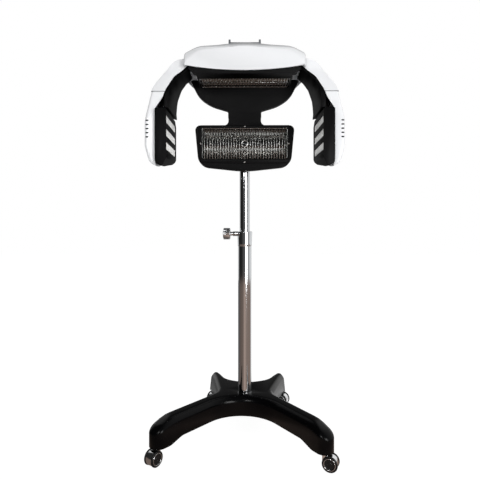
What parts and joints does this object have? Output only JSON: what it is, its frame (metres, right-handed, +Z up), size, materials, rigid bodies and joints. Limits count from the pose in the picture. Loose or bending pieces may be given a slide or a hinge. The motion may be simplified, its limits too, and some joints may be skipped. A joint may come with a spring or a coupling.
{
  "type": "hair color processor",
  "caption": "Infrared hair color processor: a white hood with nape panel and two swinging side pods on a telescopic stand with casters.",
  "frame": {"origin": "on the floor under the column axis", "axes": "+Z up, -Y to the open front of the hood, +X to the right seen from the front"},
  "size_m": [0.654, 0.5616, 1.4441],
  "materials": {
    "black_abs": "gloss",
    "black_steel": "satin",
    "zinc_steel": "satin",
    "black_nylon": "matte",
    "chrome": "polished",
    "white_nylon": "matte",
    "cast_aluminium": "satin",
    "white_abs": "gloss",
    "guard_chrome": "polished",
    "reflector": "polished",
    "quartz": "clear",
    "grey_abs": "satin",
    "display": "gloss",
    "button_plastic": "satin"
  },
  "bodies": {
    "base": {"base_cover": "black_abs", "base_frame": "black_steel", "base_screws": "zinc_steel", "power_inlet": "black_nylon", "outer_tube": "chrome", "column_collar": "chrome", "guide_bush": "white_nylon"},
    "caster_front_right": {"caster_front_right_hood": "chrome"},
    "wheels_front_right": {"caster_front_right_wheels": "black_nylon"},
    "caster_front_left": {"caster_front_left_hood": "chrome"},
    "wheels_front_left": {"caster_front_left_wheels": "black_nylon"},
    "caster_rear_right": {"caster_rear_right_hood": "chrome"},
    "wheels_rear_right": {"caster_rear_right_wheels": "black_nylon"},
    "caster_rear_left": {"caster_rear_left_hood": "chrome"},
    "wheels_rear_left": {"caster_rear_left_wheels": "black_nylon"},
    "lock": {"lock_knob": "chrome", "lock_screw": "zinc_steel"},
    "mast": {"inner_tube": "chrome", "tube_slider": "white_nylon"},
    "yoke": {"head_yoke": "cast_aluminium"},
    "head": {"spine_bracket": "black_steel", "tilt_pin": "zinc_steel", "hinge_brackets": "black_steel", "arm_pins": "zinc_steel", "rear_fascia": "black_abs", "rear_shell": "black_abs", "nape_bezel": "black_abs", "nape_guard": "guard_chrome", "nape_reflector": "reflector", "nape_lamps": "quartz", "sensor_ring": "guard_chrome", "bezel_screws": "zinc_steel", "hood_cover": "white_abs", "hood_liner": "black_abs", "top_guard": "guard_chrome", "top_reflector": "reflector", "top_lamps": "quartz", "console_housing": "grey_abs", "console_display": "display"},
    "arm_right": {"arm_strap_right": "black_steel", "arm_shell_right": "white_abs", "pod_shell_right": "white_abs", "arm_liner_right": "black_abs", "pod_housing_right": "black_abs", "pod_guard_right": "guard_chrome", "pod_reflector_right": "reflector", "pod_lamps_right": "quartz"},
    "arm_left": {"arm_strap_left": "black_steel", "arm_shell_left": "white_abs", "pod_shell_left": "white_abs", "arm_liner_left": "black_abs", "pod_housing_left": "black_abs", "pod_guard_left": "guard_chrome", "pod_reflector_left": "reflector", "pod_lamps_left": "quartz"},
    "button_down_key": {"button_down": "button_plastic"},
    "button_start_key": {"button_start": "button_plastic"},
    "button_up_key": {"button_up": "button_plastic"},
    "rocker": {"power_rocker": "button_plastic"}
  },
  "joints": [
    {"name": "swivel_front_right", "type": "hinge", "parent": "base", "child": "caster_front_right", "pos_m": [0.25392, -0.27567, 0.055], "axis": [0, 0, 1], "continuous": true},
    {"name": "roll_front_right", "type": "hinge", "parent": "caster_front_right", "child": "wheels_front_right", "pos_m": [0.26865, -0.28192, 0.025], "axis": [0.3907, 0.9205, 0], "continuous": true},
    {"name": "swivel_front_left", "type": "hinge", "parent": "base", "child": "caster_front_left", "pos_m": [-0.28135, -0.24762, 0.055], "axis": [0, 0, 1], "continuous": true},
    {"name": "roll_front_left", "type": "hinge", "parent": "caster_front_left", "child": "wheels_front_left", "pos_m": [-0.29029, -0.26088, 0.025], "axis": [0.829, -0.5592, 0], "continuous": true},
    {"name": "swivel_rear_right", "type": "hinge", "parent": "base", "child": "caster_rear_right", "pos_m": [0.14575, 0.22068, 0.055], "axis": [0, 0, 1], "continuous": true},
    {"name": "roll_rear_right", "type": "hinge", "parent": "caster_rear_right", "child": "wheels_rear_right", "pos_m": [0.1596, 0.21268, 0.025], "axis": [0.5, 0.866, 0], "continuous": true},
    {"name": "swivel_rear_left", "type": "hinge", "parent": "base", "child": "caster_rear_left", "pos_m": [-0.12188, 0.2347, 0.055], "axis": [0, 0, 1], "continuous": true},
    {"name": "roll_rear_left", "type": "hinge", "parent": "caster_rear_left", "child": "wheels_rear_left", "pos_m": [-0.13217, 0.22244, 0.025], "axis": [0.766, -0.6428, 0], "continuous": true},
    {"name": "lock_turn", "type": "hinge", "parent": "base", "child": "lock", "pos_m": [-0.054, 0, 0.729], "axis": [1, 0, 0], "range_deg": [0, 360]},
    {"name": "mast_lift", "type": "slide", "parent": "base", "child": "mast", "axis": [0, 0, 1], "range_m": [-0.19, 0.12]},
    {"name": "head_swivel", "type": "hinge", "parent": "mast", "child": "yoke", "pos_m": [0, 0, 1.168], "axis": [0, 0, 1], "range_deg": [-170, 170]},
    {"name": "head_tilt", "type": "hinge", "parent": "yoke", "child": "head", "pos_m": [0, 0, 1.205], "axis": [-1, 0, 0], "range_deg": [-2, 20]},
    {"name": "arm_swing_right", "type": "hinge", "parent": "head", "child": "arm_right", "pos_m": [0.17, -0.135, 1.312], "axis": [0, -1, 0], "range_deg": [-5, 25]},
    {"name": "arm_swing_left", "type": "hinge", "parent": "head", "child": "arm_left", "pos_m": [-0.17, -0.135, 1.312], "axis": [0, 1, 0], "range_deg": [-5, 25]},
    {"name": "press_down", "type": "slide", "parent": "head", "child": "button_down_key", "axis": [0, -0.4111, -0.9116], "range_m": [0, 0.0015], "stiffness_N_per_m": 900, "springref_m": -0.001},
    {"name": "press_start", "type": "slide", "parent": "head", "child": "button_start_key", "axis": [0, -0.4111, -0.9116], "range_m": [0, 0.0015], "stiffness_N_per_m": 900, "springref_m": -0.001},
    {"name": "press_up", "type": "slide", "parent": "head", "child": "button_up_key", "axis": [0, -0.4111, -0.9116], "range_m": [0, 0.0015], "stiffness_N_per_m": 900, "springref_m": -0.001},
    {"name": "power_switch", "type": "hinge", "parent": "head", "child": "rocker", "pos_m": [0, 0.04745, 1.39127], "axis": [1, 0, 0], "range_deg": [0, 14]}
  ]
}
